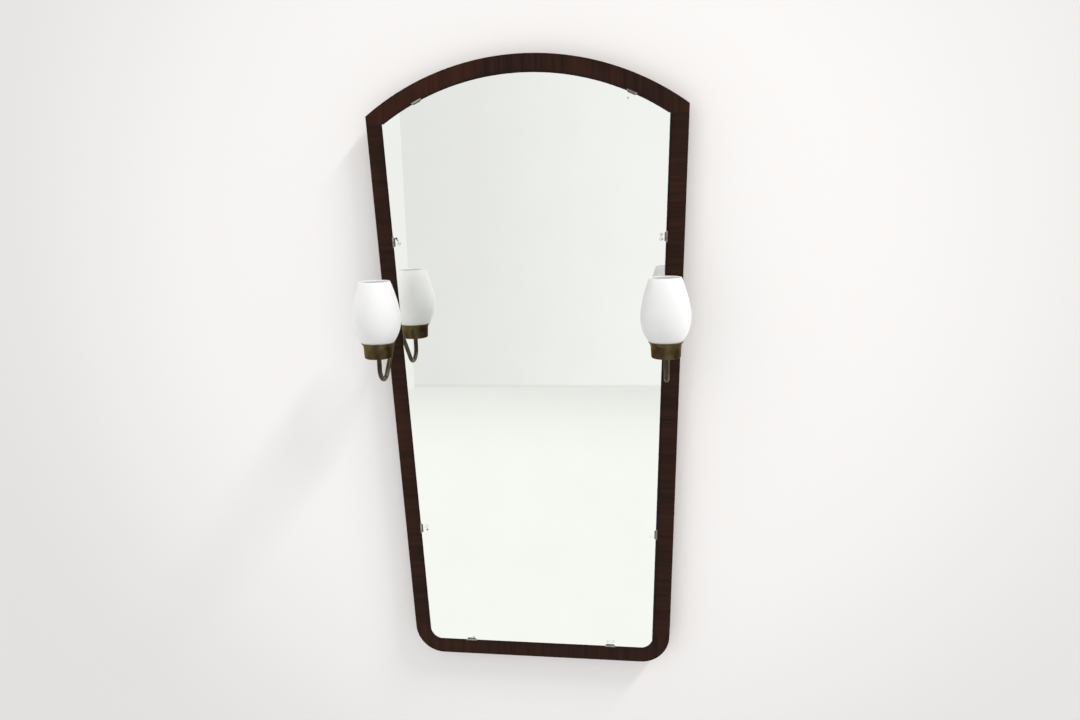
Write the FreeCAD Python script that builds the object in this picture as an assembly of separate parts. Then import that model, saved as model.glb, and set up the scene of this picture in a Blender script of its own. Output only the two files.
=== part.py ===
import FreeCAD, Part

import math
import os

# A wall mirror with an arched, tapering veneered board, a mirror glass held on its face by eight small
# clips, and two brass lamp arms that carry opal glass shades.
# Axes: +X to the right as seen from the room, +Y into the wall, +Z up. The wall is the plane y = 0.
# The origin lies midway between the two hanging holes. Sizes are millimetres, angles are degrees.

V = FreeCAD.Vector
ORIGIN = V(0, 0, 0)
X_AXIS = V(1, 0, 0)
Y_AXIS = V(0, 1, 0)
Z_AXIS = V(0, 0, 1)

# Board outline
top_width = 568.0            # across the two sharp upper corners
bottom_width = 482.0         # between the straight sides, at the level of the bottom edge
side_drop = 1013.0           # from the upper corners down to the bottom edge
arch_rise = 94.0             # from the upper corners up to the crown of the arch
corner_radius = 54.0         # lower corners
hang_drop = 130.0            # from the upper corners down to the hanging holes

# Board build-up
board_thickness = 18.0
border_width = 29.6          # wood that shows around the glass
face_thickness = 0.8         # face veneer, and the sheet behind the glass
edge_thickness = 0.8         # veneer on the edges of the board
veneer_lap = 5.0             # face veneer that runs on under the glass

# Glass
glass_thickness = 4.0
glass_arris = 0.7            # small chamfer round its front edge

# Glass clips, bent from strip as thick as the face veneer
clip_width = 20.0
clip_taper = 3.0             # how much each end narrows towards the lip
clip_lip = 4.4               # reach over the glass
clip_bevel = 1.6             # sloping front edge of the lip
clip_lip_edge = 0.3          # thickness left at that edge
clip_bend = 0.5              # outer bend radius
clip_tail = 16.0             # reach under the glass
clip_gap = 0.2               # between the strip and the edge of the glass
clip_screw_reach = 10.5      # from the edge of the glass in to the screw
clip_arch_angle = 25.0       # from the crown, about the centre of the arch
clip_upper_drop = 222.0      # from the upper corners
clip_lower_drop = 761.0
clip_bottom_offset = 133.0   # from the middle of the bottom edge

# Battens and hanging plates
batten_depth = 24.0          # holds the board off the wall
batten_height = 60.0
upper_batten_length = 430.0
lower_batten_length = 340.0
lower_batten_lift = 130.0    # from the bottom edge up to the middle of the lower batten
batten_screw_inset = 32.0    # from each end of a batten
hanger_inset = 65.0          # from each end of the upper batten in to the hanging hole
hanger_width = 20.0
hanger_height = 46.0
hanger_thickness = 1.5
hanger_hole_radius = 5.0     # lets the head of a wall screw in
hanger_slot_radius = 2.6
hanger_slot_rise = 11.0
hanger_screw_inset = 4.5     # from each end of a plate
hanger_corner = 2.2
pocket_depth = 9.0           # room for the screw head behind the plate
pocket_margin = 2.0          # pocket beyond the hole in the plate

# Lamp arms: brass tube from the board, down and out, round a bend and up into the cup
arm_inset = 22.2             # from the side of the board in to the arm
arm_drop = 372.0             # from the upper corners down to the hole in the board
arm_reach = 115.0            # from the face of the board to the upright leg
arm_slope = 49.0             # below the horizontal
arm_radius = 4.0
arm_bore = 3.0
arm_bend = 22.0              # centreline radius of the bend under the cup
arm_wall_bend = 14.0         # centreline radius of the bend beside the board
arm_straight = 1.0           # straight tube between the collar and that bend
arm_end = 1.5                # thread that shows beyond the locknut
arm_hole_gap = 0.2           # around the tube, in the board and its fittings
collar_radius = 6.5
collar_thickness = 3.0
collar_round = 1.4
washer_radius = 8.5
washer_thickness = 1.2
locknut_across = 13.0
locknut_thickness = 4.5

# Cups
cup_drop = 413.0             # from the upper corners down to the underside of the cup
cup_height = 26.5
cup_bottom_radius = 24.3
cup_waist_radius = 25.0      # where the lip starts to flare
cup_rim_radius = 28.7
cup_flare = 9.0              # height of the flared lip
cup_corner = 3.0
cup_sheet = 0.8
cup_shoulder = 1.6           # swelling of the tube under the cup
cup_shoulder_height = 1.8
cup_nut_across = 13.0
cup_nut_thickness = 4.0
thread_above_cup = 12.0      # tube above the inside floor of the cup

# Lampholders
holder_height = 36.0
holder_radius = 13.0
holder_base_radius = 10.8
holder_base_height = 9.0
holder_floor = 13.0          # from its foot up to the floor of the socket
holder_socket_radius = 8.3
holder_rim_round = 1.2
shell_radius = 8.1
shell_sheet = 0.5
shell_height = 20.0
contact_radius = 3.0
contact_height = 1.2

# Bulbs
cap_radius = 6.9
cap_height = 23.0
cap_tip_radius = 3.2
cap_tip_height = 1.5
bulb_radius = 17.5
bulb_shoulder_height = 27.0  # from the cap up to the widest part
bulb_length = 72.0           # from the cap up to the tip
bulb_tip_radius = 3.5
bulb_lower_share = 0.78      # radius halfway up to the widest part, as a share of the widest
bulb_upper_share = 0.76      # and halfway from there to the tip

# Shades
shade_height = 130.7         # from the foot, inside the cup, up to the rim
shade_cup_gap = 0.5          # all round the foot, inside the cup
shade_seat_gap = 0.3         # between the foot and the curved corner that it stands on
shade_foot_straight = 13.2
shade_lip_round = 0.7        # fire-polished edges of the foot and the rim
shade_widest_radius = 41.5
shade_widest_height = 65.7   # above the foot
shade_rim_radius = 26.2
shade_wall = 2.4
shade_bowl_share = 0.78      # of the S-curve below the widest part, the rest is the neck's hollow
shade_shoulder_radius = 80.0
shade_shoulder_turn = 9.0

# Leads inside the arms, and the junction box behind the board
lead_radius = 1.5
lead_gap = 0.1               # between a lead and what it lies on
lead_hump = 16.5             # height of the lead over the board where it leaves the arm
lead_hump_length = 20.0
lead_fall_length = 26.0      # where it comes down to the board
lead_rise_length = 14.0      # where it climbs to the junction box
lead_bend = 8.0
lead_soft_bend = 24.0
lead_end = 6.0               # length inside the junction box
saddle_positions = (90.0, 170.0)
saddle_width = 6.0
saddle_sheet = 0.8
saddle_foot = 3.0
box_length = 60.0
box_height = 42.0
box_depth = 18.0
box_wall = 2.0
box_lead_height = 8.0        # from the board up to the entries for the leads
box_lead_radius = 2.0
box_inlet_radius = 4.0       # entry for the supply
lid_thickness = 1.6
terminal_length = 30.0
terminal_height = 14.0
terminal_depth = 9.0

# Screws: head radius, shank radius, length below the face
clip_screw = (2.9, 1.3, 12.0)
batten_screw = (4.2, 2.1, 38.0)
hanger_screw = (3.1, 1.5, 16.0)
box_screw = (3.0, 1.5, 12.0)
screw_gap = 0.05
screw_slot_width = 0.8
screw_slot_depth = 0.6
head_cone = 45.0             # half angle of a countersunk head

same_place = 1e-6            # two coordinates this close are one

# ---- Places worked out from the sizes above ----------------------------------------------------

half_top = top_width / 2
half_bottom = bottom_width / 2
corner_z = hang_drop
bottom_z = corner_z - side_drop
hanger_spacing = upper_batten_length - 2 * hanger_inset
arch_radius = (half_top ** 2 + arch_rise ** 2) / (2 * arch_rise)
arch_centre_z = corner_z + arch_rise - arch_radius

board_back = -batten_depth
board_front = board_back - board_thickness
face_front = board_front - face_thickness
glass_front = face_front - glass_thickness

side_length = math.hypot(half_top - half_bottom, side_drop)
side_down = V(half_bottom - half_top, 0, -side_drop) / side_length
side_inward = V(side_down.z, 0, -side_down.x)
lower_corner_z = bottom_z + corner_radius
lower_corner_x = half_top + side_inward.x * corner_radius + side_down.x * (
    (lower_corner_z - corner_z - side_inward.z * corner_radius) / side_down.z)

arm_z = corner_z - arm_drop
arm_offset = half_top - (half_top - half_bottom) * arm_drop / side_drop - arm_inset
leg_y = board_front - arm_reach
cup_z = corner_z - cup_drop
cup_floor = cup_z + cup_sheet
holder_z = cup_floor + cup_nut_thickness
socket_floor = holder_z + holder_floor
bulb_z = socket_floor + contact_height

shade_foot_radius = cup_bottom_radius - cup_sheet - shade_cup_gap
seat_reach = cup_corner - cup_sheet - shade_lip_round - shade_seat_gap
seat_across = cup_corner - cup_sheet - shade_lip_round - shade_cup_gap
shade_z = cup_z + cup_corner - shade_lip_round - math.sqrt(seat_reach ** 2 - seat_across ** 2)
shade_axis = V(arm_offset, leg_y, 0)
arm_back_end = board_back + washer_thickness + locknut_thickness + arm_end


# ---- Small helpers ---------------------------------------------------------------------------

def arc(start, through, end):
    return Part.Arc(start, through, end).toShape()


def turned_arc(centre, radius, from_angle, to_angle, plane):
    """An arc about centre, where plane(angle) gives the unit direction of an angle in degrees."""
    middle = (from_angle + to_angle) / 2
    return arc(*[centre + plane(angle) * radius for angle in (from_angle, middle, to_angle)])


def in_profile(angle):
    """Unit direction in the XZ plane, 0 along +X and 90 along +Z."""
    return V(math.cos(math.radians(angle)), 0, math.sin(math.radians(angle)))


def in_arm_plane(angle):
    """Unit direction in the YZ plane, 0 along +Y and 90 along +Z."""
    return V(0, math.cos(math.radians(angle)), math.sin(math.radians(angle)))


def flat_face(edges):
    return Part.Face(Part.Wire(Part.sortEdges(edges)[0]))


def polygon_face(points):
    return Part.Face(Part.makePolygon(list(points) + [points[0]]))


def slab(face, back, front):
    """A flat piece between two depths, from a face drawn in the wall plane."""
    piece = face.copy()
    piece.translate(V(0, back, 0))
    return piece.extrude(V(0, front - back, 0))


def block(x0, x1, y0, y1, z0, z1):
    return Part.makeBox(x1 - x0, y1 - y0, z1 - z0, V(x0, y0, z0))


def band(z0, z1):
    """All space between two levels, wide enough for the whole board."""
    reach = top_width + board_thickness
    return block(-reach, reach, -reach, reach, z0, z1)


def turned(profile, centre):
    """A piece turned on the upright line through centre, from a face drawn against the Z axis."""
    piece = profile.revolve(ORIGIN, Z_AXIS, 360)
    piece.translate(centre)
    return piece


def ring(outer, inner, height, base, axis):
    return Part.makeCylinder(outer, height, base, axis).cut(Part.makeCylinder(inner, height, base, axis))


def hexagon_nut(across, bore, thickness, base, axis):
    corner = across / math.sqrt(3)
    points = [in_profile(60 * side) * corner for side in range(6)]
    nut = polygon_face(points).extrude(Y_AXIS * thickness)
    nut.Placement = FreeCAD.Placement(base, FreeCAD.Rotation(Y_AXIS, axis))
    return nut.cut(Part.makeCylinder(bore, thickness, base, axis))


def countersunk(size, point, axis, gap=0.0):
    """A screw, or with a gap the hole for it, whose head is flush at point and which runs along axis."""
    head, shank, length = size
    head += gap
    shank += gap
    depth = (head - shank) / math.tan(math.radians(head_cone))
    cone = Part.makeCone(head, shank, depth, point, axis)
    return cone.fuse(Part.makeCylinder(shank, length + gap - depth, point + axis * depth, axis))


def screw(size, point, axis):
    body = countersunk(size, point, axis)
    reach = 2 * size[0]
    slot = Part.makeBox(2 * reach, screw_slot_width, 2 * screw_slot_depth)
    slot.translate(V(-reach, -screw_slot_width / 2, -screw_slot_depth))
    slot.Placement = FreeCAD.Placement(point, FreeCAD.Rotation(Z_AXIS, axis)).multiply(slot.Placement)
    return body.cut(slot).removeSplitter()


def mirrored(shape):
    return shape.mirror(ORIGIN, X_AXIS)


def swept(path, radius, start, heading):
    circle = Part.Wire(Part.makeCircle(radius, start, heading))
    return path.makePipeShell([circle], True, False)


def rounded_route(points, radii):
    """Straight runs joined by tangent arcs, one radius for each inner point."""
    edges = []
    start = points[0]
    for before, corner, after, radius in zip(points, points[1:], points[2:], radii):
        inward = (before - corner).normalize()
        outward = (after - corner).normalize()
        half = inward.getAngle(outward) / 2
        tangent = radius / math.tan(half)
        centre = corner + (inward + outward).normalize() * (radius / math.sin(half))
        first = corner + inward * tangent
        last = corner + outward * tangent
        middle = centre + (corner - centre).normalize() * radius
        edges += [Part.LineSegment(start, first).toShape(), arc(first, middle, last)]
        start = last
    edges.append(Part.LineSegment(start, points[-1]).toShape())
    return edges


# ---- Board outline -----------------------------------------------------------------------------

def arch_corner(inset):
    """Where the side and the arch meet, both moved inward by inset."""
    start = V(half_top, 0, corner_z) + side_inward * inset
    radius = arch_radius - inset
    from_centre = start - V(0, 0, arch_centre_z)
    along = from_centre.dot(side_down)
    reach = math.sqrt(along ** 2 - from_centre.dot(from_centre) + radius ** 2)
    return start + side_down * (-along - reach)


def outline_face(inset):
    """The board's outline in the wall plane, moved inward by inset."""
    corner = arch_corner(inset)
    left_corner = V(-corner.x, 0, corner.z)
    crown = V(0, 0, arch_centre_z + arch_radius - inset)
    radius = corner_radius - inset
    turn_centre = V(lower_corner_x, 0, lower_corner_z)
    side_end = turn_centre - side_inward * radius
    bottom_end = turn_centre - Z_AXIS * radius
    middle = turn_centre - (side_inward + Z_AXIS).normalize() * radius
    right = [Part.LineSegment(corner, side_end).toShape(), arc(side_end, middle, bottom_end)]
    left = [mirrored(edge) for edge in right]
    bottom = Part.LineSegment(bottom_end, V(-bottom_end.x, 0, bottom_end.z)).toShape()
    return flat_face([arc(left_corner, crown, corner), bottom] + right + left)


def in_four(frame, upper_level, names):
    """Splits a frame-shaped piece into arch, left, right and bottom."""
    level = lower_corner_z
    sides = frame.common(band(level, upper_level))
    left, right = sorted(sides.Solids, key=lambda solid: solid.CenterOfMass.x)
    arch = frame.common(band(upper_level, corner_z + top_width))
    bottom = frame.common(band(bottom_z - top_width, level))
    return dict(zip(names, (arch, left, right, bottom)))


# ---- Glass clips -------------------------------------------------------------------------------

def clip_places():
    """Name, point on the edge of the glass and inward direction of each clip."""
    places = []
    for side, sign in (("left", -1), ("right", 1)):
        angle = math.radians(clip_arch_angle)
        outward = V(sign * math.sin(angle), 0, math.cos(angle))
        point = V(0, 0, arch_centre_z) + outward * (arch_radius - border_width)
        places.append(("clip_arch_" + side, point, outward * -1))
        inward = V(sign * side_inward.x, 0, side_inward.z)
        for level, drop in (("upper", clip_upper_drop), ("lower", clip_lower_drop)):
            along = (drop + side_inward.z * border_width) / -side_down.z
            on_edge = V(half_top, 0, corner_z) + side_inward * border_width + side_down * along
            on_edge.x *= sign
            places.append(("clip_%s_%s" % (level, side), on_edge, inward))
        on_edge = V(sign * clip_bottom_offset, 0, bottom_z + border_width)
        places.append(("clip_bottom_" + side, on_edge, Z_AXIS))
    return places


def clip_placement(point, inward):
    turn = math.degrees(math.atan2(-inward.z, inward.x))
    return FreeCAD.Placement(point, FreeCAD.Rotation(Y_AXIS, turn))


def clip_plan(reach, widen):
    """Plan of a clip, with X inward from the edge of the glass and Z along it."""
    back = -clip_gap - face_thickness - widen
    half = clip_width / 2 + widen
    narrow = half - clip_taper
    points = [(back, half), (0, half), (clip_lip, narrow), (reach, narrow)]
    points += [(x, -z) for x, z in reversed(points)]
    return polygon_face([V(x, 0, z) for x, z in points])


def clip_shape():
    """One clip at the origin, with its tail, riser and bevelled lip."""
    outer = -clip_gap - face_thickness
    lip_back = glass_front
    lip_front = glass_front - face_thickness
    section = [V(outer, board_front, 0), V(clip_tail, board_front, 0), V(clip_tail, face_front, 0),
               V(-clip_gap, face_front, 0), V(-clip_gap, lip_back, 0), V(clip_lip, lip_back, 0),
               V(clip_lip, lip_back - clip_lip_edge, 0), V(clip_lip - clip_bevel, lip_front, 0),
               V(outer, lip_front, 0)]
    strip = polygon_face(section).extrude(Z_AXIS * clip_width)
    strip.translate(Z_AXIS * (-clip_width / 2))
    bend = [edge for edge in strip.Edges if all(
        abs(v.X - outer) < same_place and abs(v.Y - lip_front) < same_place for v in edge.Vertexes)]
    strip = strip.makeFillet(clip_bend, bend)
    plan = slab(clip_plan(clip_tail, 0), board_front, lip_front)
    hole = countersunk(clip_screw, V(clip_screw_reach, face_front, 0), Y_AXIS, screw_gap)
    return strip.common(plan).cut(hole)


def placed_copies(shape, places):
    copies = []
    for name, point, inward in places:
        copy = shape.copy()
        copy.Placement = clip_placement(point, inward).multiply(copy.Placement)
        copies.append(copy)
    return copies


# ---- Fixings into the board --------------------------------------------------------------------

def batten_middles():
    """Length and middle level of each batten."""
    upper = (upper_batten_length, hanger_slot_rise / 2)
    lower = (lower_batten_length, bottom_z + lower_batten_lift)
    return {"upper_batten": upper, "lower_batten": lower}


def batten_screw_points():
    points = []
    for length, level in batten_middles().values():
        for x in (batten_screw_inset - length / 2, 0, length / 2 - batten_screw_inset):
            points.append(V(x, 0, level))
    return points


def hanger_screw_points():
    points = []
    for x in (-hanger_spacing / 2, hanger_spacing / 2):
        for up in (-1, 1):
            level = hanger_slot_rise / 2 + up * (hanger_height / 2 - hanger_screw_inset)
            points.append(V(x, 0, level))
    return points


def box_screw_points():
    x = terminal_length / 2 + (box_length / 2 - box_wall - terminal_length / 2) / 2
    z = box_height / 4
    return [V(-x, board_back + box_wall, arm_z - z), V(x, board_back + box_wall, arm_z - z)]


def back_holes(size, points):
    """Holes for screws that are driven into the back."""
    return [countersunk(size, point, Y_AXIS * -1, screw_gap) for point in points]


def arm_holes(front, depth):
    bore = arm_radius + arm_hole_gap
    return [Part.makeCylinder(bore, depth, V(x, front, arm_z), Y_AXIS) for x in (-arm_offset, arm_offset)]


def backboard(clip_screw_holes):
    core = slab(outline_face(edge_thickness), board_back, board_front)
    cuts = clip_screw_holes + arm_holes(board_front, board_thickness)
    cuts += back_holes(batten_screw, batten_screw_points()) + back_holes(box_screw, box_screw_points())
    return core.cut(cuts)


def face_pieces(notches):
    """Face veneers round the border and the sheet behind the glass."""
    inner_edge = border_width + veneer_lap
    sheet = slab(outline_face(inner_edge), board_front, face_front)
    cuts = [sheet] + notches + arm_holes(face_front, face_thickness)
    frame = slab(outline_face(0), board_front, face_front).cut(cuts)
    names = ("veneer_arch", "veneer_left", "veneer_right", "veneer_bottom")
    pieces = in_four(frame, arch_corner(border_width).z, names)
    pieces["backing_sheet"] = sheet.cut(notches)
    return pieces


def edge_pieces():
    frame = slab(outline_face(0).cut(outline_face(edge_thickness)), board_back, board_front)
    names = ("edge_veneer_arch", "edge_veneer_left", "edge_veneer_right", "edge_veneer_bottom")
    return in_four(frame, corner_z, names)


def mirror_glass():
    pane = slab(outline_face(border_width), face_front, glass_front)
    front_edges = [edge for edge in pane.Edges if all(
        abs(v.Y - glass_front) < same_place for v in edge.Vertexes)]
    return pane.makeChamfer(glass_arris, front_edges)


def batten(length, level):
    half = batten_height / 2
    return block(-length / 2, length / 2, board_back, 0, level - half, level + half)


def keyhole(radius, slot_radius, x, front, back):
    """An upright keyhole, round below and with a slot above, cut between two depths."""
    depth = back - front
    hole = Part.makeCylinder(radius, depth, V(x, front, 0), Y_AXIS)
    slot = block(x - slot_radius, x + slot_radius, front, back, 0, hanger_slot_rise)
    end = Part.makeCylinder(slot_radius, depth, V(x, front, hanger_slot_rise), Y_AXIS)
    return hole.fuse([slot, end])


def hanger(x):
    half_width = hanger_width / 2
    low = (hanger_slot_rise - hanger_height) / 2
    plate = block(x - half_width, x + half_width, -hanger_thickness, 0, low, low + hanger_height)
    corners = [edge for edge in plate.Edges if abs(edge.tangentAt(edge.FirstParameter).y) > 0.5]
    return plate.makeFillet(hanger_corner, corners)


def battens_and_hangers():
    screws = back_holes(batten_screw, batten_screw_points())
    plate_screws = back_holes(hanger_screw, hanger_screw_points())
    pieces = {}
    for name, (length, level) in batten_middles().items():
        pieces[name] = batten(length, level).cut(screws)
    wide = hanger_hole_radius + pocket_margin
    for name, x in (("hanger_left", -hanger_spacing / 2), ("hanger_right", hanger_spacing / 2)):
        plate = hanger(x)
        pocket = keyhole(wide, wide, x, -hanger_thickness - pocket_depth, -hanger_thickness)
        pieces["upper_batten"] = pieces["upper_batten"].cut([plate, pocket] + plate_screws)
        opening = keyhole(hanger_hole_radius, hanger_slot_radius, x, -hanger_thickness, 0)
        pieces[name] = plate.cut([opening] + plate_screws)
    return pieces


# ---- One sconce, built on the right and mirrored to the left ------------------------------------

def arm_route():
    """Centreline of the arm as edges, from behind the board to above the floor of the cup."""
    half_turn = math.radians(arm_slope / 2)
    corner_y = face_front - collar_thickness - arm_straight - arm_wall_bend * math.tan(half_turn)
    slope = math.radians(arm_slope)
    turn_y = leg_y + arm_bend
    turn_z = arm_z + (turn_y - corner_y) * math.tan(slope) + arm_bend / math.cos(slope)
    turn_centre = V(arm_offset, turn_y, turn_z)
    wall_centre = V(arm_offset, face_front - collar_thickness - arm_straight, arm_z - arm_wall_bend)
    start = V(arm_offset, arm_back_end, arm_z)
    top = V(arm_offset, leg_y, cup_floor + thread_above_cup)
    wall_arc = turned_arc(wall_centre, arm_wall_bend, 90, 90 + arm_slope, in_arm_plane)
    cup_arc = turned_arc(turn_centre, arm_bend, arm_slope - 90, -180, in_arm_plane)
    from_wall, to_slope = [vertex.Point for vertex in wall_arc.Vertexes]
    from_slope, to_cup = [vertex.Point for vertex in cup_arc.Vertexes]
    return [Part.LineSegment(start, from_wall).toShape(), wall_arc,
            Part.LineSegment(to_slope, from_slope).toShape(), cup_arc,
            Part.LineSegment(to_cup, top).toShape()]


def arm_tube():
    path = Part.Wire(arm_route())
    start = V(arm_offset, arm_back_end, arm_z)
    tube = swept(path, arm_radius, start, Y_AXIS)
    foot = shade_axis + Z_AXIS * (cup_z - cup_shoulder_height)
    shoulder = Part.makeCylinder(arm_radius + cup_shoulder, cup_shoulder_height, foot, Z_AXIS)
    return tube.fuse(shoulder).cut(swept(path, arm_bore, start, Y_AXIS))


def collar():
    bore = arm_radius + arm_hole_gap
    front = collar_thickness - collar_round
    edge = turned_arc(V(collar_radius - collar_round, 0, front), collar_round, 0, 90, in_profile)
    points = [(collar_radius - collar_round, collar_thickness), (bore, collar_thickness), (bore, 0),
              (collar_radius, 0), (collar_radius, front)]
    lines = Part.makePolygon([V(r, 0, z) for r, z in points])
    piece = flat_face([edge] + lines.Edges).revolve(ORIGIN, Z_AXIS, 360)
    turn = FreeCAD.Rotation(Z_AXIS, Y_AXIS * -1)
    piece.Placement = FreeCAD.Placement(V(arm_offset, face_front, arm_z), turn)
    return piece


def cup():
    """A turned cup of thin sheet with a rounded bottom corner and a flared lip."""
    waist_z = cup_height - cup_flare
    spread = cup_rim_radius - cup_waist_radius
    turn = 2 * math.degrees(math.atan2(spread, cup_flare))
    flare_radius = cup_flare / math.sin(math.radians(turn))
    flare_centre = V(cup_waist_radius + flare_radius, 0, waist_z)
    flare = turned_arc(flare_centre, flare_radius, 180, 180 - turn, in_profile)
    corner_centre = V(cup_bottom_radius - cup_corner, 0, cup_corner)
    corner = turned_arc(corner_centre, cup_corner, -90, 0, in_profile)
    hole = arm_radius + arm_hole_gap
    floor = Part.LineSegment(V(hole, 0, 0), V(corner_centre.x, 0, 0)).toShape()
    wall = Part.LineSegment(V(cup_bottom_radius, 0, cup_corner), V(cup_waist_radius, 0, waist_z)).toShape()
    outer = Part.Wire([floor, corner, wall, flare])
    sheet = sheet_section(outer, cup_sheet)
    return turned(sheet, shade_axis + Z_AXIS * cup_z)


def sheet_section(outer, thickness):
    """The cross-section of a sheet whose outer side is an open wire, with the sheet on its axis side."""
    options = [outer.makeOffset2D(sign * thickness, 0, True, True, False) for sign in (1, -1)]
    return min(options, key=lambda face: face.CenterOfMass.x - face.CenterOfMass.z)


def lampholder():
    neck = holder_base_height + holder_radius - holder_base_radius
    rim_centre = V(holder_radius - holder_rim_round, 0, holder_height - holder_rim_round)
    rim = turned_arc(rim_centre, holder_rim_round, 0, 90, in_profile)
    tube_hole = thread_above_cup - cup_nut_thickness
    bore = arm_radius + arm_hole_gap
    points = [(rim_centre.x, holder_height), (holder_socket_radius, holder_height),
              (holder_socket_radius, holder_floor), (0, holder_floor), (0, tube_hole), (bore, tube_hole),
              (bore, 0), (holder_base_radius, 0), (holder_base_radius, holder_base_height),
              (holder_radius, neck), (holder_radius, rim_centre.z)]
    lines = Part.makePolygon([V(r, 0, z) for r, z in points])
    return turned(flat_face([rim] + lines.Edges), shade_axis + Z_AXIS * holder_z)


def bulb_glass():
    """A candle bulb: a swelling body that draws in to a small rounded tip."""
    tip_z = bulb_length - bulb_tip_radius
    widest = V(bulb_radius, 0, bulb_shoulder_height)
    upper_z = (bulb_shoulder_height + bulb_length + bulb_tip_radius) / 2
    lower_middle = V(bulb_lower_share * bulb_radius, 0, bulb_shoulder_height / 2)
    upper_middle = V(bulb_upper_share * bulb_radius, 0, upper_z)
    shoulder = arc(V(cap_radius, 0, 0), lower_middle, widest)
    body = arc(widest, upper_middle, V(bulb_tip_radius, 0, tip_z))
    tip = turned_arc(V(0, 0, tip_z), bulb_tip_radius, 0, 90, in_profile)
    lines = Part.makePolygon([V(0, 0, bulb_length), V(0, 0, 0), V(cap_radius, 0, 0)])
    return turned(flat_face([shoulder, body, tip] + lines.Edges), shade_axis + Z_AXIS * (bulb_z + cap_height))


def bulb_cap():
    base = shade_axis + Z_AXIS * bulb_z
    tip = Part.makeCone(cap_tip_radius, cap_radius, cap_tip_height, base, Z_AXIS)
    sleeve_base = base + Z_AXIS * cap_tip_height
    return tip.fuse(Part.makeCylinder(cap_radius, cap_height - cap_tip_height, sleeve_base, Z_AXIS))


def shade_side():
    """The outer side of the shade from foot to rim: neck, hollow, bowl, shoulder and a long upper curve."""
    drop = shade_widest_height - shade_foot_straight
    spread = shade_widest_radius - shade_foot_radius
    turn = 2 * math.degrees(math.atan2(spread, drop))
    radii = drop / math.sin(math.radians(turn))
    bowl_radius = radii * shade_bowl_share
    hollow_radius = radii - bowl_radius
    neck_top = V(shade_foot_radius, 0, shade_foot_straight)
    foot = Part.LineSegment(V(shade_foot_radius, 0, 0), neck_top).toShape()
    hollow_centre = neck_top + X_AXIS * hollow_radius
    hollow = turned_arc(hollow_centre, hollow_radius, 180, 180 - turn, in_profile)
    widest = V(shade_widest_radius, 0, shade_widest_height)
    bowl = turned_arc(widest - X_AXIS * bowl_radius, bowl_radius, -turn, 0, in_profile)
    shoulder_centre = widest - X_AXIS * shade_shoulder_radius
    shoulder = turned_arc(shoulder_centre, shade_shoulder_radius, 0, shade_shoulder_turn, in_profile)
    start = shoulder_centre + in_profile(shade_shoulder_turn) * shade_shoulder_radius
    chord = V(shade_rim_radius, 0, shade_height) - start
    lean = math.degrees(math.atan2(-chord.x, chord.z))
    upper_radius = chord.Length / (2 * math.sin(math.radians(lean - shade_shoulder_turn)))
    upper_centre = start - in_profile(shade_shoulder_turn) * upper_radius
    last = 2 * lean - shade_shoulder_turn
    upper = turned_arc(upper_centre, upper_radius, shade_shoulder_turn, last, in_profile)
    return Part.Wire([foot, hollow, bowl, shoulder, upper])


def shade():
    section = sheet_section(shade_side(), shade_wall)
    glass = section.revolve(ORIGIN, Z_AXIS, 360)
    ends = [edge for edge in glass.Edges if edge.Closed and (
        abs(edge.CenterOfMass.z) < 1e-3 or edge.CenterOfMass.z > shade_height - shade_wall)]
    glass = glass.makeFillet(shade_lip_round, ends)
    glass.translate(shade_axis + Z_AXIS * shade_z)
    return glass


def lead():
    """The lead from inside the lampholder, through the arm and along the board to the junction box."""
    exit_point = V(arm_offset, arm_back_end, arm_z)
    hump_y = board_back + lead_hump
    rest_y = board_back + lead_radius + lead_gap
    entry_y = board_back + box_lead_height
    fall_x = arm_offset - lead_hump_length
    rest_x = fall_x - lead_fall_length
    entry_x = box_length / 2 + lead_rise_length
    points = [exit_point, V(arm_offset, hump_y, arm_z), V(fall_x, hump_y, arm_z), V(rest_x, rest_y, arm_z),
              V(entry_x + lead_rise_length, rest_y, arm_z), V(entry_x, entry_y, arm_z),
              V(box_length / 2 - box_wall - lead_end, entry_y, arm_z)]
    back = rounded_route(points, [lead_bend] + [lead_soft_bend] * 4)
    inside = arm_route()
    path = Part.Wire(Part.sortEdges(inside + back)[0])
    return swept(path, lead_radius, V(arm_offset, leg_y, cup_floor + thread_above_cup), Z_AXIS)


def saddles():
    """Small sheet saddles that hold one lead to the board."""
    inner = lead_radius + lead_gap
    outer = inner + saddle_sheet
    pieces = []
    for x in saddle_positions:
        start = V(x - saddle_width / 2, board_back + inner, arm_z)

        def part(height, half_width):
            return block(start.x, start.x + saddle_width, board_back, board_back + height,
                         arm_z - half_width, arm_z + half_width)

        foot_reach = outer + saddle_foot
        arch = Part.makeCylinder(outer, saddle_width, start, X_AXIS).common(part(inner + outer, foot_reach))
        channel = Part.makeCylinder(inner, saddle_width, start, X_AXIS)
        sheet = arch.fuse([part(inner, outer), part(saddle_sheet, foot_reach)])
        pieces.append(sheet.cut([channel, part(inner, inner)]).removeSplitter())
    return pieces


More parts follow.
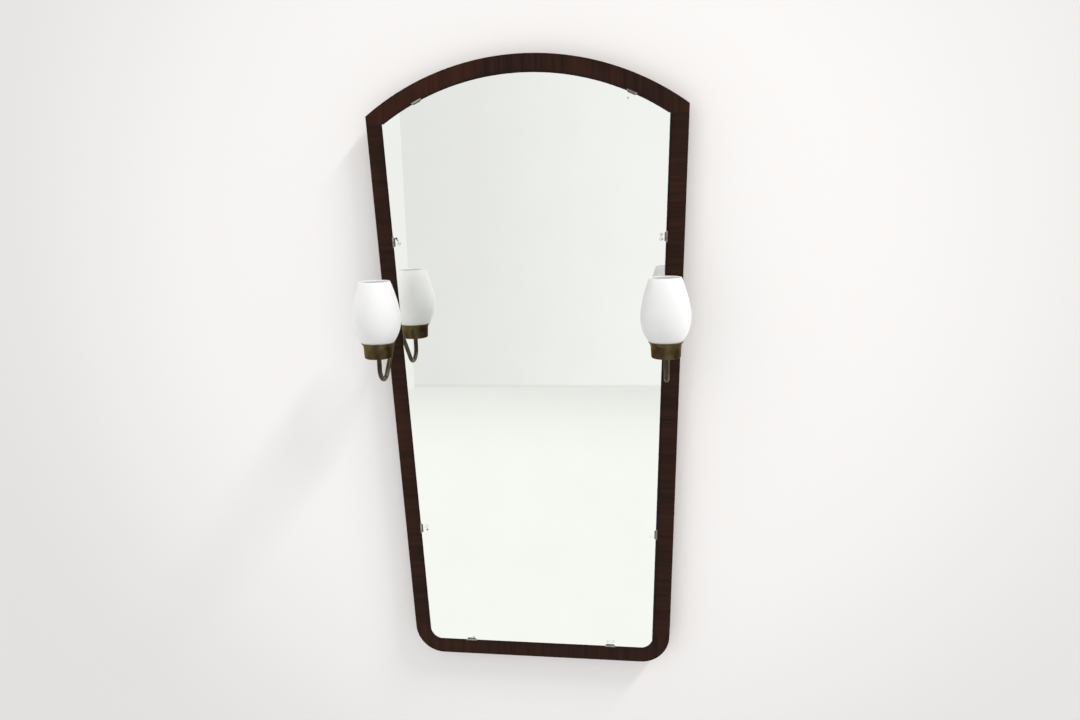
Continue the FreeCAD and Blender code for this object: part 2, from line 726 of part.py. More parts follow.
def sconce_pieces():
    """The nodes of the right-hand sconce, by name without its side."""
    bore = arm_radius + arm_hole_gap
    washer_base = V(arm_offset, board_back, arm_z)
    shell_base = shade_axis + Z_AXIS * socket_floor
    pieces = {"arm": arm_tube(), "arm_collar": collar(), "cup": cup(), "lampholder": lampholder(),
              "bulb_glass": bulb_glass(), "bulb_cap": bulb_cap(), "shade": shade(), "lead": lead()}
    pieces["arm_washer"] = ring(washer_radius, bore, washer_thickness, washer_base, Y_AXIS)
    nut_base = washer_base + Y_AXIS * washer_thickness
    pieces["arm_locknut"] = hexagon_nut(locknut_across, bore, locknut_thickness, nut_base, Y_AXIS)
    cup_nut_base = shade_axis + Z_AXIS * cup_floor
    pieces["cup_nut"] = hexagon_nut(cup_nut_across, bore, cup_nut_thickness, cup_nut_base, Z_AXIS)
    pieces["socket_shell"] = ring(shell_radius, shell_radius - shell_sheet, shell_height, shell_base, Z_AXIS)
    pieces["socket_contact"] = Part.makeCylinder(contact_radius, contact_height, shell_base, Z_AXIS)
    return pieces


# ---- Junction box ------------------------------------------------------------------------------

def junction_pieces():
    """Box, lid and terminal strip behind the board, where both leads and the supply come in."""
    def part(length, height, low, high):
        return block(-length / 2, length / 2, board_back + low, board_back + high,
                     arm_z - height / 2, arm_z + height / 2)

    seat = box_depth - lid_thickness
    inner = part(box_length - 2 * box_wall, box_height - 2 * box_wall, box_wall, box_depth)
    entry_start = V(-box_length / 2, board_back + box_lead_height, arm_z)
    inlet_start = V(0, board_back + box_depth / 2, arm_z - box_height / 2 - box_wall / 2)
    cuts = [inner, Part.makeCylinder(box_lead_radius, box_length, entry_start, X_AXIS),
            Part.makeCylinder(box_inlet_radius, 2 * box_wall, inlet_start, Z_AXIS)]
    box = part(box_length, box_height, 0, seat).cut(cuts + back_holes(box_screw, box_screw_points()))
    return {"junction_box": box, "junction_lid": part(box_length, box_height, seat, box_depth),
            "terminal_strip": part(terminal_length, terminal_height, box_wall, box_wall + terminal_depth)}


# ---- Whole model -------------------------------------------------------------------------------

def build():
    places = clip_places()
    clip_head = V(clip_screw_reach, face_front, 0)
    clip_screw_holes = placed_copies(countersunk(clip_screw, clip_head, Y_AXIS, screw_gap), places)
    notches = placed_copies(slab(clip_plan(clip_tail + clip_gap, clip_gap), board_front, face_front), places)
    nodes = {"backboard": backboard(clip_screw_holes), "mirror_glass": mirror_glass()}
    nodes.update(face_pieces(notches))
    nodes.update(edge_pieces())
    nodes.update(zip([name for name, point, inward in places], placed_copies(clip_shape(), places)))
    nodes.update(battens_and_hangers())
    nodes.update(junction_pieces())
    groups = {
        "clip_screws": placed_copies(screw(clip_screw, clip_head, Y_AXIS), places),
        "batten_screws": [screw(batten_screw, p, Y_AXIS * -1) for p in batten_screw_points()],
        "hanger_screws": [screw(hanger_screw, p, Y_AXIS * -1) for p in hanger_screw_points()],
        "box_screws": [screw(box_screw, p, Y_AXIS * -1) for p in box_screw_points()],
    }
    right_saddles = saddles()
    groups["lead_saddles"] = right_saddles + [mirrored(piece) for piece in right_saddles]
    nodes.update({name: Part.makeCompound(solids) for name, solids in groups.items()})
    for name, piece in sconce_pieces().items():
        nodes[name + "_right"] = piece
        nodes[name + "_left"] = mirrored(piece)
    return nodes


os.makedirs("parts", exist_ok=True)
for node_name, node_shape in sorted(build().items()):
    node_shape.exportStep("parts/%s.step" % node_name)
    print("%-22s solids %d  volume %.1f  valid %s" % (
        node_name, len(node_shape.Solids), node_shape.Volume, node_shape.isValid()))
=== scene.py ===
import math

import bmesh
import bpy
from mathutils import Matrix, Vector


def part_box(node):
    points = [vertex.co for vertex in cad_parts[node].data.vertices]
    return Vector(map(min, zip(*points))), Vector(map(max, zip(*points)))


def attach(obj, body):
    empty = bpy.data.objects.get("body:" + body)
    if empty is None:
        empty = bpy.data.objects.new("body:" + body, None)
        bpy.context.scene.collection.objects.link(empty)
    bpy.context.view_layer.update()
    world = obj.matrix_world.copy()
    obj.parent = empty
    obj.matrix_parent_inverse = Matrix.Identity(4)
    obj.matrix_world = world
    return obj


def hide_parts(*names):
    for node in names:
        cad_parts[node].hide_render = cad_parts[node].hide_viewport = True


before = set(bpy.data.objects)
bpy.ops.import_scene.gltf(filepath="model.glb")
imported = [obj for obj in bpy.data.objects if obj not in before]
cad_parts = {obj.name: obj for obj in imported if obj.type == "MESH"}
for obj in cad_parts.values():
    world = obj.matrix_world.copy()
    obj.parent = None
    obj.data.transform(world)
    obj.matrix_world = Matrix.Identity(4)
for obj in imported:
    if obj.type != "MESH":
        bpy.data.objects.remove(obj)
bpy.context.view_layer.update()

# Lengths are metres, unless their comment says otherwise. Tones are linear light.

SIDES = ("left", "right")
hair = 0.0001                # smaller than any step in the glass or in the bulbs' caps

# ---- Camera ----------------------------------------------------------------------------------

camera_place = Vector((0.3137, -1.7687, 0.0121))
camera_right = Vector((0.98593, 0.16431, -0.03085))
camera_down = Vector((-0.00035, -0.18251, -0.9832))
camera_lens = 32.993         # millimetres
frame_width = 36.0           # millimetres

# ---- Room ------------------------------------------------------------------------------------

wall_gap = 0.0006            # wall behind the hanging plates
floor_level = -1.5
room_depth = 5.36            # from the wall to the one that the mirror shows
room_left = -1.865           # side wall that the mirror shows at its left edge
room_reach = 4.0             # how far the planes run to each side
room_top = 3.0

wall_tone = (0.970, 0.954, 0.948)
wall_centre = (0.0, wall_gap, -0.20)
wall_dims_from = 0.54        # distances from its centre between which painted shade darkens the wall
wall_dims_to = 1.22
wall_dimmed = 0.86           # share of its tone that is left

far_tone = (0.945, 0.943, 0.922)
far_corner_reach = 1.9       # how far along the far wall painted shade keeps its corner darker
far_dimmed = 0.87
joint_shade_tone = (0.70, 0.70, 0.68)
joint_share = 0.4
joint_full = 0.014           # heights over the floor between which the painted shade at the joint dies away
joint_gone = 0.030

floor_tone = (0.985, 0.995, 0.955)
floor_dims_before = 2.0      # painted shade darkens the floor from here in front of the far wall
floor_dims_past = 0.9        # to here behind it
floor_dimmed = 0.81

side_tone = (0.915, 0.925, 0.900)
side_dimmed = 0.985

# ---- Light -----------------------------------------------------------------------------------

sky_tone = (1.0, 0.995, 0.985)
backdrop_tone = (0.90, 0.90, 0.89)    # seen past the planes
room_light = 0.42            # from all round the room in front of the wall
ahead_light = 0.88           # more of it from straight ahead
ahead_start = 0.45           # how squarely ahead it has to come from
above_light = 0.10           # and more from above than from below
bounce_light = 1.95          # what the pale wall and the glass throw back at what faces them
wall_blend = 0.02            # softens the step between the light from the room and from the wall

strip_tone = (1.0, 0.99, 0.975)
strip_place = Vector((4.70, -3.13, 5.79))
strip_aim = Vector((0.0, -3.13, 0.0))
strip_length = 3.1           # along the way to the wall
strip_width = 0.64
strip_power = 298.0          # watts


# ---- Shader maths ----------------------------------------------------------------------------

class Value:
    """A socket of a finish. Arithmetic on it adds Math nodes."""

    def __init__(self, finish, socket):
        self.finish = finish
        self.socket = socket

    def maths(self, operation, *values):
        return self.finish.node("ShaderNodeMath", {"operation": operation},
                                dict(enumerate(values)))

    def __add__(self, other):
        return self.maths("ADD", self, other)

    __radd__ = __add__

    def __sub__(self, other):
        return self.maths("SUBTRACT", self, other)

    def __rsub__(self, other):
        return self.maths("SUBTRACT", other, self)

    def __mul__(self, other):
        return self.maths("MULTIPLY", self, other)

    def __lt__(self, other):
        return self.maths("LESS_THAN", self, other)

    def __gt__(self, other):
        return self.maths("GREATER_THAN", self, other)

    def __neg__(self):
        return 0 - self

    def __abs__(self):
        return self.maths("ABSOLUTE", self)

    def highest(self, other):
        return self.maths("MAXIMUM", self, other)

    def rise(self, low, high):
        """0 below low and 1 above high, with a smooth step between."""
        limits = {"Value": self, "From Min": low, "From Max": high}
        return self.finish.node("ShaderNodeMapRange", {"interpolation_type": "SMOOTHSTEP"}, limits)

    def fall(self, low, high):
        """1 below low and 0 above high, with a smooth step between."""
        return 1 - self.rise(low, high)


def find_socket(sockets, key):
    if isinstance(key, int):
        return sockets[key]
    return next(socket for socket in sockets if key in (socket.identifier, socket.name))


def set_stops(ramp, stops):
    while len(ramp.elements) < len(stops):
        ramp.elements.new(1.0)
    for element, (position, colour) in zip(ramp.elements, stops):
        element.position = position
        element.color = (*colour, 1.0)


class Finish:
    """The nodes of a material or of the sky, written as expressions."""

    def __init__(self, block):
        self.block = block
        block.use_nodes = True
        self.tree = block.node_tree
        self.tree.nodes.clear()
        self.place = self.node("ShaderNodeTexCoord", output="Object")

    def node(self, kind, settings=None, inputs=None, output=0):
        made = self.tree.nodes.new(kind)
        for name, value in (settings or {}).items():
            if name == "stops":
                set_stops(made.color_ramp, value)
            else:
                setattr(made, name, value)
        for key, value in (inputs or {}).items():
            socket = find_socket(made.inputs, key)
            if isinstance(value, Value):
                self.tree.links.new(value.socket, socket)
            elif socket.type == "RGBA":
                socket.default_value = (*value, 1.0)
            else:
                socket.default_value = value
        return Value(self, find_socket(made.outputs, output)) if made.outputs else None

    def part_of(self, vector, axis):
        return self.node("ShaderNodeSeparateXYZ", None, {0: vector}, axis)

    def along(self, axis):
        return self.part_of(self.place, axis)

    def facing(self, axis):
        """How squarely the surface faces along an axis, from -1 to 1."""
        return self.part_of(self.node("ShaderNodeTexCoord", output="Normal"), axis)

    def distance(self, point):
        return self.node("ShaderNodeVectorMath", {"operation": "DISTANCE"},
                         {0: self.place, 1: point}, "Value")

    def ray(self, kind):
        return self.node("ShaderNodeLightPath", output=kind)

    def noise(self, cells, detail=2.0, shift=(0.0, 0.0, 0.0)):
        """Soft noise near 0.5, with this many cells in a metre along each axis."""
        place = self.node("ShaderNodeMapping", None,
                          {"Vector": self.place, "Scale": cells, "Location": shift})
        return self.node("ShaderNodeTexNoise", None,
                         {"Vector": place, "Scale": 1.0, "Detail": detail})

    def ramp(self, share, *stops):
        """A colour from stops, which are pairs of a share and its colour."""
        return self.node("ShaderNodeValToRGB", {"stops": stops}, {"Fac": share}, "Color")

    def mix(self, share, first, second):
        values = {"Factor_Float": share, "A_Color": first, "B_Color": second}
        return self.node("ShaderNodeMix", {"data_type": "RGBA"}, values, "Result_Color")

    def mix_shader(self, share, first, second):
        return self.node("ShaderNodeMixShader", None, {0: share, 1: first, 2: second})

    def surface(self, inputs, height=None, depth=0.0):
        """Finishes a material, with a height from 0 to 1 that stands for this depth."""
        if height is not None:
            inputs["Normal"] = self.node("ShaderNodeBump", None,
                                         {"Height": height, "Distance": depth})
        return self.close("ShaderNodeOutputMaterial",
                          self.node("ShaderNodeBsdfPrincipled", None, inputs))

    def close(self, kind, shader):
        self.node(kind, None, {"Surface": shader})
        return self.block


def material(name):
    return Finish(bpy.data.materials.new(name))


def even(cells):
    return (cells, cells, cells)


def stretched(grain, along, across):
    """Cells to a metre for a noise drawn out along the grain axis."""
    return tuple(along if axis == grain else across for axis in "XYZ")


def times(colour, share):
    return tuple(min(1.0, part * share) for part in colour)


# ---- Finishes of the board -------------------------------------------------------------------

veneer_dark = (0.0120, 0.0040, 0.0018)
veneer_mid = (0.0215, 0.0068, 0.0030)
veneer_pale = (0.0330, 0.0105, 0.0042)
veneer_red_dark = (0.0225, 0.0060, 0.0025)
veneer_red_pale = (0.0465, 0.0132, 0.0054)
red_blend = 0.2              # how slowly the patches turn red


def veneer(name, grain, shift, red_from=0.50):
    """Dark red-brown veneer under worn lacquer, with its fibres along the grain axis.

    The shift gives each length its own figure. Patches of noise over red_from are redder."""
    f = material(name)
    fibres = f.noise(stretched(grain, 24.0, 900.0), 3.0, shift)
    figure = f.noise(stretched(grain, 7.0, 95.0), 2.0, shift)
    patches = f.noise(even(6.5), 1.0, shift)
    tone = fibres * 0.45 + figure * 0.55
    brown = f.ramp(tone, (0.36, veneer_dark), (0.50, veneer_mid), (0.64, veneer_pale))
    red = f.ramp(tone, (0.36, veneer_red_dark), (0.64, veneer_red_pale))
    colour = f.mix(patches.rise(red_from, red_from + red_blend), brown, red)
    lacquer = {"Base Color": colour, "Roughness": 0.42 + fibres * 0.16, "Specular IOR Level": 0.12}
    return f.surface(lacquer, fibres, depth=0.00006)


def timber(name, pale, dark, grain="Z"):
    """Bare timber with long flat-sawn figure, fine fibres and handling marks."""
    f = material(name)
    bend = f.noise(stretched(grain, 2.2, 9.0), 2.0)
    rings = f.noise(stretched(grain, 1.6, 60.0), 1.0, (3.0, 1.0, 2.0))
    fibres = f.noise(stretched(grain, 30.0, 1100.0), 3.0)
    marks = f.noise(even(9.0), 4.0, (5.0, 2.0, 0.0))
    tone = bend * 0.35 + rings * 0.40 + fibres * 0.25
    colour = f.ramp(tone, (0.38, dark), (0.62, pale))
    soiled = f.mix(marks.rise(0.55, 0.75) * 0.35, colour, times(dark, 0.45))
    return f.surface({"Base Color": soiled, "Roughness": 0.62 + fibres * 0.2}, fibres, depth=0.0001)


# ---- Finish of the glass ---------------------------------------------------------------------

silver_dim = (0.930, 0.945, 0.925)
silver_bright = (0.945, 0.960, 0.940)
dark_line_and_bare_tone = (0.020, 0.017, 0.019)        # of the dark line along the edge, and where silver is lost
ground_tone = (0.030, 0.032, 0.032)      # the ground edge
edge_line_at_arch = 0.0016        # widths of the dark line along the edge
edge_line_at_right = 0.0010       # it is thinner still at the left
edge_line_at_foot = 0.0007
edge_line_wavers = 0.0006          # how far that line's inner edge wavers
strand_core = 0.03           # thickness of the strands that frayed spots break into
strand_fades = 0.09

# Where silver is lost near the clips' screws, and where it is frayed there:
# clip, distances from the screw along X and Z, radius, share that is lost
bare_spots = (
    ("clip_upper_left", -0.0037, 0.0060, 0.0031, 1.0),
    ("clip_upper_left", -0.0014, 0.0026, 0.0022, 0.7),
    ("clip_lower_left", 0.0020, -0.0031, 0.0029, 0.75),
    ("clip_bottom_left", 0.0043, -0.0040, 0.0022, 0.6),
    ("clip_arch_right", -0.0032, -0.0012, 0.0024, 0.5),
    ("clip_lower_right", -0.0010, -0.0040, 0.0034, 0.1),
)
frayed_spots = (
    ("clip_upper_left", 0.0012, -0.0036, 0.0042, 0.7),
    ("clip_upper_right", 0.0005, 0.0024, 0.0040, 0.6),
    ("clip_upper_right", 0.0005, -0.0044, 0.0040, 0.6),
    ("clip_lower_left", 0.0010, 0.0030, 0.0050, 0.25),
    ("clip_bottom_right", -0.0030, -0.0012, 0.0045, 0.30),
    ("clip_bottom_right", 0.0063, -0.0006, 0.0040, 0.30),
)
bare_core = 0.35             # share of a spot's radius from which it fades out
frayed_core = 0.7
screw_reach = 0.004          # a clip's screw lies this near the box of the clip


def beside_screw(clip, along_x, along_z, level):
    """A point this far from the centre of a clip's screw, at this level of Y."""
    low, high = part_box(clip)
    points = [vertex.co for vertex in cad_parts["clip_screws"].data.vertices]
    own = [point for point in points
           if low.x - screw_reach < point.x < high.x + screw_reach
           and low.z - screw_reach < point.z < high.z + screw_reach]
    centre = sum(own, Vector()) / len(own)
    return (centre.x + along_x, level, centre.z + along_z)


def worn_spots(f, spots, level, core):
    """A mask of spots that fade out from this share of their radius."""
    worn = None
    for clip, along_x, along_z, radius, share in spots:
        away = f.distance(beside_screw(clip, along_x, along_z, level))
        spot = away.fall(radius * core, radius) * share
        worn = spot if worn is None else worn.highest(spot)
    return worn


def dark_edge_line(f, low):
    """A mask of a dark line along the edge of the glass, widest at the arch and thinnest at the
    left.
    """
    rim = [vertex.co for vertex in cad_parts["mirror_glass"].data.vertices
           if vertex.co.y < low.y + hair]
    crown = max(rim, key=lambda point: point.z)
    corner = max(rim, key=lambda point: point.x)
    foot = max((point for point in rim if point.x > 0 and point.z < corner.z - hair),
               key=lambda point: point.z)
    down = (foot - corner).normalized()
    inward = Vector((down.z, 0.0, -down.x))
    arch_rise = crown.z - corner.z
    arch_radius = (corner.x ** 2 + arch_rise ** 2) / (2 * arch_rise)

    x, z = f.along("X"), f.along("Z")
    from_side = abs(x) * inward.x + z * inward.z - corner.dot(inward)
    from_arch = arch_radius - f.distance((0.0, low.y, crown.z - arch_radius))
    frayed = f.noise(even(240.0), 3.0) * edge_line_wavers
    at_side = from_side < (x > 0) * edge_line_at_right + frayed
    at_arch = (from_arch < frayed + edge_line_at_arch) * (z > corner.z)
    at_foot = z < frayed + low.z + edge_line_at_foot
    return at_side.highest(at_arch).highest(at_foot)


def silvered_glass(name):
    """Plate glass silvered behind, with a dark line along its ground edge and silver lost near some
    screws.
    """
    f = material(name)
    low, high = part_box("mirror_glass")
    front = f.along("Y") < low.y + hair
    strand = abs(f.noise(even(340.0), 1.0, (0.4, 0.0, 0.1)) - 0.5)
    strands = strand.fall(strand_core, strand_fades)
    frayed = worn_spots(f, frayed_spots, low.y, frayed_core) * strands
    loss = frayed.highest(worn_spots(f, bare_spots, low.y, bare_core))
    silver = f.ramp(f.noise(even(14.0), 3.0), (0.3, silver_dim), (0.7, silver_bright))
    # a dark line along the edge, and silver lost near some screws
    face = f.mix(loss.highest(dark_edge_line(f, low)), silver, dark_line_and_bare_tone)
    return f.surface({"Base Color": f.mix(front, ground_tone, face), "Metallic": 1.0,
                      "Roughness": 0.30 - front * 0.30 + loss * 0.3})


# ---- Finishes of the fittings ----------------------------------------------------------------

# painted shade on the sloping front edge of a clip's lip
lip_slope_shade_tone = (0.072, 0.066, 0.060)
lip_worn_tone = (0.170, 0.148, 0.138)
lip_bright_tone = (0.420, 0.385, 0.350)
lip_tilted = 0.965           # how squarely a face looks forward, on a slope and on the flat; the slope gets painted shade
lip_flat = 0.985

# Brass of the cups: its dark and pale tones carry painted reflections and painted shade
cup_dark = (0.030, 0.020, 0.011)
cup_mid = (0.072, 0.050, 0.026)
cup_pale = (0.118, 0.090, 0.044)
# painted light, yellower higher up the cup
cup_lit_tone = (0.150, 0.108, 0.040)
cup_rim_tone = (0.20, 0.16, 0.09)
cup_tint = (0.70, 0.63, 0.47)            # of what it mirrors at a slant
cup_lit_from = 0.010       # painted light rises from this height over the cup's lowest level
cup_lit_to = 0.004         # depths under its rim
rim_worn_from = 0.0016
rim_worn_to = 0.0004

# painted shade at the foot, where the cup keeps the light out
opal_foot_shade_tone = (0.720, 0.715, 0.700)
opal_dim = (0.938, 0.936, 0.930)
opal_bright = (0.956, 0.954, 0.949)
opal_foot_shade_height = 0.060     # over which the painted shade at the foot dies away
opal_skin = 0.006            # how deep light soaks into the glass


def metal(name, pale, dark, cells, roughness, spread=0.25, depth=0.00003):
    """Bare or plated metal whose colour and polish drift from pale to dark."""
    f = material(name)
    cloud = f.noise(cells, 4.0)
    scratch = f.noise(tuple(part * 9 for part in cells), 2.0)
    tone = cloud * 0.75 + scratch * 0.25
    colour = f.ramp(tone, (0.36, dark), (0.62, pale))
    polish = roughness + (1 - tone) * spread
    return f.surface({"Base Color": colour, "Metallic": 1.0, "Roughness": polish}, scratch, depth)


def clip_nickel(name):
    """Nickel plate, worn to grey on the flat of the lip, with painted shade on its sloping front
    edge.
    """
    f = material(name)
    cloud = f.noise(even(160.0), 4.0)
    wear = cloud * 0.5 + f.noise(even(7.0), 1.0) * 0.5
    worn = f.ramp(wear, (0.38, lip_worn_tone), (0.62, lip_bright_tone))
    # painted shade on the slope, by which way the face looks
    flat = (-f.facing("Y")).rise(lip_tilted, lip_flat)
    colour = f.mix(flat, lip_slope_shade_tone, worn)
    polish = 0.22 + cloud * 0.16
    return f.surface({"Base Color": colour, "Metallic": 1.0, "Roughness": polish},
                     cloud, depth=0.00003)


def cup_brass(name):
    """Aged brass, with painted light that makes it yellower below the lip, broad dark streaks that
    are painted reflections, and painted shade on the side that faces right.
    """
    f = material(name)
    low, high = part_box("cup_right")
    reflection_streaks = f.noise((44.0, 44.0, 14.0), 1.5, (0.0, 0.3, 0.0))
    cloud = f.noise(even(75.0), 4.0)
    # painted reflections in streaks, and painted shade on the side that faces right
    tone = reflection_streaks * 0.72 + cloud * 0.28 - f.facing("X") * 0.07
    colour = f.ramp(tone, (0.38, cup_dark), (0.50, cup_mid), (0.64, cup_pale))
    height = f.along("Z")
    upper = height.rise(low.z + cup_lit_from, high.z - cup_lit_to)
    # painted light, yellower higher up
    painted_warm_light = f.mix(upper * tone.rise(0.42, 0.58) * 0.6, colour, cup_lit_tone)
    rim = height.rise(high.z - rim_worn_from, high.z - rim_worn_to)
    worn = f.mix(rim * 0.5, painted_warm_light, cup_rim_tone)
    return f.surface({"Base Color": worn, "Metallic": 1.0, "Roughness": 0.30 + (1 - tone) * 0.2,
                      "Specular Tint": cup_tint}, cloud, depth=0.00004)


def opal(name):
    """White opal glass with a satin skin, with painted shade towards its foot, where the cup keeps
    the light out.
    """
    f = material(name)
    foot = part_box("shade_right")[0].z
    cloud = f.noise(even(18.0), 2.0)
    white = f.ramp(cloud, (0.35, opal_dim), (0.65, opal_bright))
    # painted shade, greyer at the foot
    colour = f.mix(f.along("Z").rise(foot, foot + opal_foot_shade_height), opal_foot_shade_tone, white)
    return f.surface({"Base Color": colour, "Roughness": 0.30 + cloud * 0.1,
                      "Subsurface Weight": 0.7, "Subsurface Radius": (1.0, 0.98, 0.95),
                      "Subsurface Scale": opal_skin})


def plain(name, colour, roughness, cells=60.0, drift=0.12, depth=0.00005):
    """Moulded, sheathed or pressed stuff with a slight drift of tone and a fine tooth."""
    f = material(name)
    cloud = f.noise(even(cells), 3.0)
    tooth = f.noise(even(cells * 22), 2.0)
    shade = f.ramp(cloud * 0.7 + tooth * 0.3,
                   (0.35, times(colour, 1 - drift)), (0.65, times(colour, 1 + drift)))
    return f.surface({"Base Color": shade, "Roughness": roughness + cloud * 0.12}, tooth, depth)


# A finish serves all nodes whose names start with its key, and the longest key wins.
finishes = {
    "veneer_arch": veneer("veneer_arch", "Z", (0.0, 0.0, 0.0), red_from=0.42),
    "veneer_left": veneer("veneer_left", "X", (3.0, 1.0, 0.0), red_from=0.46),
    "veneer_right": veneer("veneer_right", "X", (7.0, 2.0, 5.0), red_from=0.66),
    "veneer_bottom": veneer("veneer_bottom", "Z", (1.0, 6.0, 2.0)),
    "edge_veneer": veneer("edge_veneer", "Y", (2.0, 3.0, 4.0)),
    "backboard": timber("board_wood", (0.40, 0.27, 0.15), (0.22, 0.13, 0.065)),
    "batten": timber("batten_wood", (0.52, 0.38, 0.23), (0.34, 0.22, 0.12), grain="X"),
    "mirror_glass": silvered_glass("silvered_glass"),
    "backing_sheet": plain("backing_board", (0.33, 0.28, 0.22), 0.75),
    "clip": clip_nickel("nickel"),
    "steel": metal("zinc_steel", (0.62, 0.62, 0.60), (0.38, 0.38, 0.37), even(130.0), 0.26),
    "cup": cup_brass("cup_brass"),
    "arm": metal("arm_brass", (0.098, 0.078, 0.048), (0.036, 0.029, 0.018),
                 (70.0, 70.0, 25.0), 0.26),
    "brass": metal("bright_brass", (0.46, 0.34, 0.14), (0.24, 0.17, 0.07), even(80.0), 0.24),
    "lampholder": plain("black_plastic", (0.020, 0.018, 0.017), 0.28),
    "bulb_cap": metal("cap_aluminium", (0.74, 0.74, 0.73), (0.50, 0.50, 0.49), even(120.0), 0.24),
    "bulb_glass": plain("frosted_glass", (0.88, 0.87, 0.84), 0.30,
                        cells=40.0, drift=0.02, depth=0.00001),
    "shade": opal("opal_glass"),
    "lead": plain("lead_sheath", (0.56, 0.50, 0.40), 0.45),
    "junction": plain("brown_plastic", (0.085, 0.038, 0.022), 0.30),
    "terminal_strip": plain("glazed_ceramic", (0.76, 0.74, 0.68), 0.16,
                            cells=50.0, drift=0.04, depth=0.00001),
    "cap_insulator": plain("black_glass", (0.012, 0.012, 0.014), 0.10, drift=0.1, depth=0.00001),
    "cap_solder": metal("solder", (0.50, 0.50, 0.50), (0.30, 0.30, 0.30), even(400.0), 0.34),
}

# Nodes whose finish has another name than they have
finish_of_node = {
    "upper_batten": "batten", "lower_batten": "batten",
    "clip_screws": "steel", "batten_screws": "steel", "hanger_screws": "steel",
    "box_screws": "steel", "hanger_left": "steel", "hanger_right": "steel",
    "lead_saddles": "steel",
}
for side in SIDES:
    for fitting in ("arm_locknut", "arm_washer", "cup_nut", "socket_shell", "socket_contact"):
        finish_of_node[fitting + "_" + side] = "brass"


def finish_for(name):
    if name in finish_of_node:
        return finishes[finish_of_node[name]]
    return finishes[max((key for key in finishes if name.startswith(key)), key=len)]


for name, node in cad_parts.items():
    for slot in node.material_slots:
        slot.material = finish_for(name)


# ---- Bulb caps -------------------------------------------------------------------------------

solder_top = 0.0012          # levels over the tip of the solder
insulator_top = 0.0040
thread_start = 0.0048
thread_end = 0.0170
thread_run_out = 0.0016      # where the thread dies away at its ends
thread_pitch = 0.0028
thread_depth = 0.00055
cap_steps = 80               # round the axis
level_step = 0.00022

# Levels and radii of the solder and the insulator, below the shell
tip_profile = ((0.0, 0.0006), (0.0004, 0.0016), (solder_top, 0.0023), (solder_top + hair, 0.0034),
               (insulator_top, 0.0053), (insulator_top + hair, 0.0058))
cap_finishes = ("cap_solder", "cap_insulator", "bulb_cap")


def add_object(name, data):
    made = bpy.data.objects.new(name, data)
    bpy.context.scene.collection.objects.link(made)
    return made


def smooth_step(low, high, value):
    share = min(1.0, max(0.0, (value - low) / (high - low)))
    return share * share * (3 - 2 * share)


def on_profile(profile, level):
    """Radius at a level of a profile, which is pairs of level and radius."""
    for (low, first), (high, last) in zip(profile, profile[1:]):
        if level <= high:
            return first + (last - first) * (level - low) / (high - low)
    return profile[-1][1]


def threaded(radius, level, turns):
    """The radius after the thread is rolled into it, that many turns round the axis."""
    starts = smooth_step(thread_start, thread_start + thread_run_out, level)
    ends = smooth_step(thread_end - thread_run_out, thread_end, level)
    wave = 0.5 - 0.5 * math.cos(2 * math.pi * (level / thread_pitch - turns))
    return radius - thread_depth * wave * starts * (1 - ends)


def screw_cap(side):
    """A bulb's screw cap: solder tip, black glass insulator and a shell with a rolled thread."""
    low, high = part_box("bulb_cap_" + side)
    shell_radius = (high.x - low.x) / 2
    middle = (low + high) / 2
    height = high.z - low.z
    profile = tip_profile + ((thread_start, shell_radius), (height, shell_radius))
    levels = sorted({level for level, radius in profile} | {
        step * level_step for step in range(int(height / level_step))})
    mesh = bmesh.new()
    rings = []
    for level in levels:
        ring = []
        for step in range(cap_steps):
            turns = step / cap_steps
            angle = 2 * math.pi * turns
            radius = threaded(on_profile(profile, level), level, turns)
            ring.append(mesh.verts.new((middle.x + radius * math.cos(angle),
                                        middle.y + radius * math.sin(angle), low.z + level)))
        rings.append(ring)
    for level, lower, upper in zip(levels, rings, rings[1:]):
        part = (level >= solder_top - hair) + (level >= insulator_top - hair)
        for step in range(cap_steps):
            following = (step + 1) % cap_steps
            face = mesh.faces.new((lower[step], lower[following], upper[following], upper[step]))
            face.smooth = True
            face.material_index = part
    mesh.faces.new(reversed(rings[0])).material_index = 0
    mesh.faces.new(rings[-1]).material_index = len(cap_finishes) - 1

    data = bpy.data.meshes.new("screw_cap_" + side)
    mesh.to_mesh(data)
    mesh.free()
    for finish in cap_finishes:
        data.materials.append(finishes[finish])
    cap = add_object("screw_cap_" + side, data)
    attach(cap, "bulb_%s_body" % side)
    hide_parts("bulb_cap_" + side)


for side in SIDES:
    screw_cap(side)


# ---- Stage -----------------------------------------------------------------------------------

def stage_finish(name, colour, lit):
    """A pale plane that only shows from its front.

    Lit ones take shadows and keep light from behind out of the gaps near them, others glow."""
    f = material(name)
    seen = f.ray("Is Camera Ray")
    seen = seen.highest(f.ray("Is Glossy Ray")).highest(f.ray("Is Transmission Ray"))
    if lit:
        seen = seen.highest(f.ray("Diffuse Depth") > 0.5)
    front = 1 - f.node("ShaderNodeNewGeometry", output="Backfacing")
    kind = "ShaderNodeBsdfDiffuse" if lit else "ShaderNodeEmission"
    shown = f.node(kind, None, {"Color": colour(f)})
    clear = f.node("ShaderNodeBsdfTransparent")
    return f.close("ShaderNodeOutputMaterial", f.mix_shader(seen * front, clear, shown))


def wall_colour(f):
    """Painted shade: a little darker far from the mirror."""
    away = f.distance(wall_centre).rise(wall_dims_from, wall_dims_to)
    return f.mix(away, wall_tone, times(wall_tone, wall_dimmed))


def far_colour(f):
    """Painted shade, darker towards its corner and in a thin band at the joint with the floor."""
    corner = f.along("X").fall(room_left, room_left + far_corner_reach)
    joint = f.along("Z").fall(floor_level + joint_full, floor_level + joint_gone)
    paint = f.mix(corner, far_tone, times(far_tone, far_dimmed))
    return f.mix(joint * joint_share, paint, joint_shade_tone)


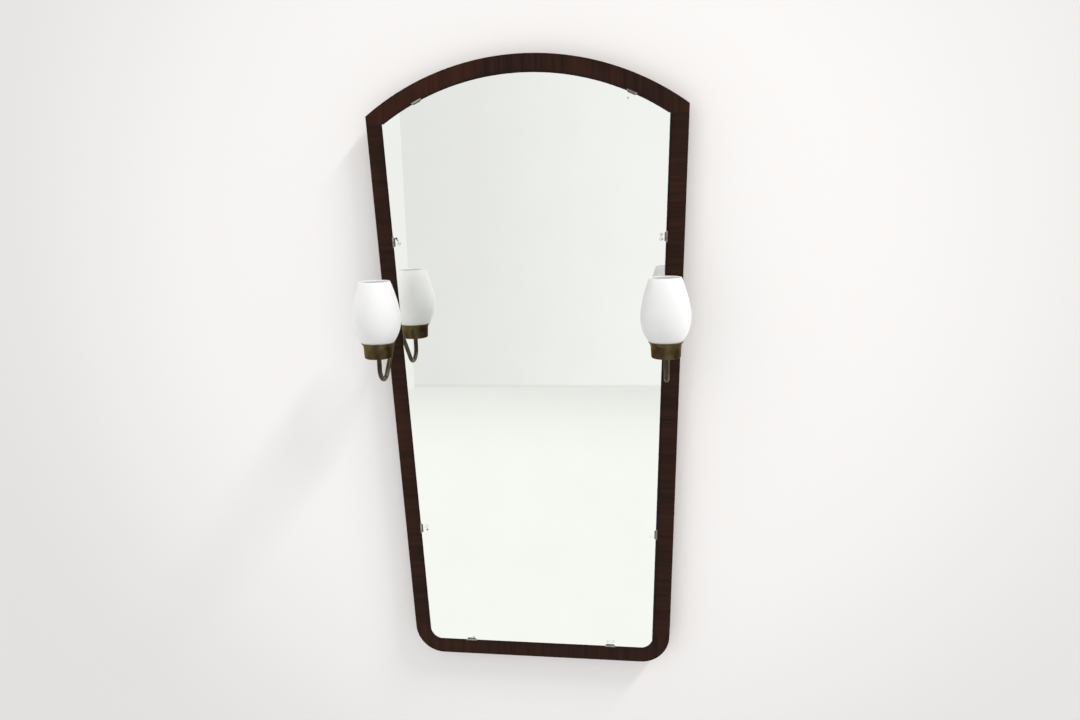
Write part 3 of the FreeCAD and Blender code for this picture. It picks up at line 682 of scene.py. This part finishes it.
def floor_colour(f):
    """Painted shade, darker near the far wall."""
    foot = f.along("Y").fall(-room_depth - floor_dims_past, -room_depth + floor_dims_before)
    return f.mix(foot, floor_tone, times(floor_tone, floor_dimmed))


def side_colour(f):
    return f.mix(f.noise(even(1.3)), side_tone, times(side_tone, side_dimmed))


def stage_plane(name, corners, finish):
    """A flat plane that faces the side from which its corners run anticlockwise."""
    mesh = bpy.data.meshes.new(name)
    mesh.from_pydata(corners, [], [range(len(corners))])
    mesh.materials.append(finish)
    add_object(name, mesh)


near, far = wall_gap, -room_depth
left, right = -room_reach, room_reach
bottom, top = floor_level, room_top
stage_plane("wall",
            [(left, near, bottom), (right, near, bottom), (right, near, top), (left, near, top)],
            stage_finish("wall_paint", wall_colour, lit=True))
stage_plane("floor",
            [(left, far, bottom), (right, far, bottom), (right, near, bottom),
             (left, near, bottom)],
            stage_finish("floor_paint", floor_colour, lit=False))
stage_plane("far_wall",
            [(right, far, bottom), (left, far, bottom), (left, far, top), (right, far, top)],
            stage_finish("far_paint", far_colour, lit=False))
stage_plane("side_wall",
            [(room_left, far, bottom), (room_left, near, bottom), (room_left, near, top),
             (room_left, far, top)],
            stage_finish("side_paint", side_colour, lit=False))


# ---- Light and camera ------------------------------------------------------------------------

def stand(thing, place, across, up, back):
    """Moves a lamp or a camera to its place and turns its X, Y and Z axes these ways."""
    turn = Matrix((across, up, back)).transposed()
    thing.matrix_world = Matrix.Translation(place) @ turn.to_4x4()


def set_sky():
    """Soft light from the room, more from ahead and above, and what the wall throws back."""
    sky = Finish(bpy.data.worlds.new("soft_sky"))
    way = sky.node("ShaderNodeTexCoord", output="Generated")
    inward, up = sky.part_of(way, "Y"), sky.part_of(way, "Z")
    room = (-inward).rise(ahead_start, 1.0) * ahead_light + up * above_light + room_light
    behind = inward.rise(-wall_blend, wall_blend)
    strength = room * (1 - behind) + behind * bounce_light
    light = sky.node("ShaderNodeBackground", None, {"Color": sky_tone, "Strength": strength})
    shown = sky.node("ShaderNodeBackground", None, {"Color": backdrop_tone})
    mixed = sky.mix_shader(sky.ray("Is Camera Ray"), light, shown)
    bpy.context.scene.world = sky.close("ShaderNodeOutputWorld", mixed)


def add_ceiling_strip():
    """A long lamp high on the right, which runs along the room."""
    light = bpy.data.lights.new("ceiling_strip", "AREA")
    light.shape = "RECTANGLE"
    light.size = strip_width
    light.size_y = strip_length
    light.energy = strip_power
    light.color = strip_tone
    backward = (strip_place - strip_aim).normalized()
    inward = Vector((0.0, 1.0, 0.0))
    stand(add_object("ceiling_strip", light), strip_place, inward.cross(backward), inward, backward)


def add_camera():
    data = bpy.data.cameras.new("camera")
    data.sensor_width = frame_width
    data.lens = camera_lens
    camera = add_object("camera", data)
    stand(camera, camera_place, camera_right, -camera_down, camera_down.cross(camera_right))
    bpy.context.scene.camera = camera


set_sky()
add_ceiling_strip()
add_camera()
bpy.context.scene.view_settings.view_transform = "Standard"
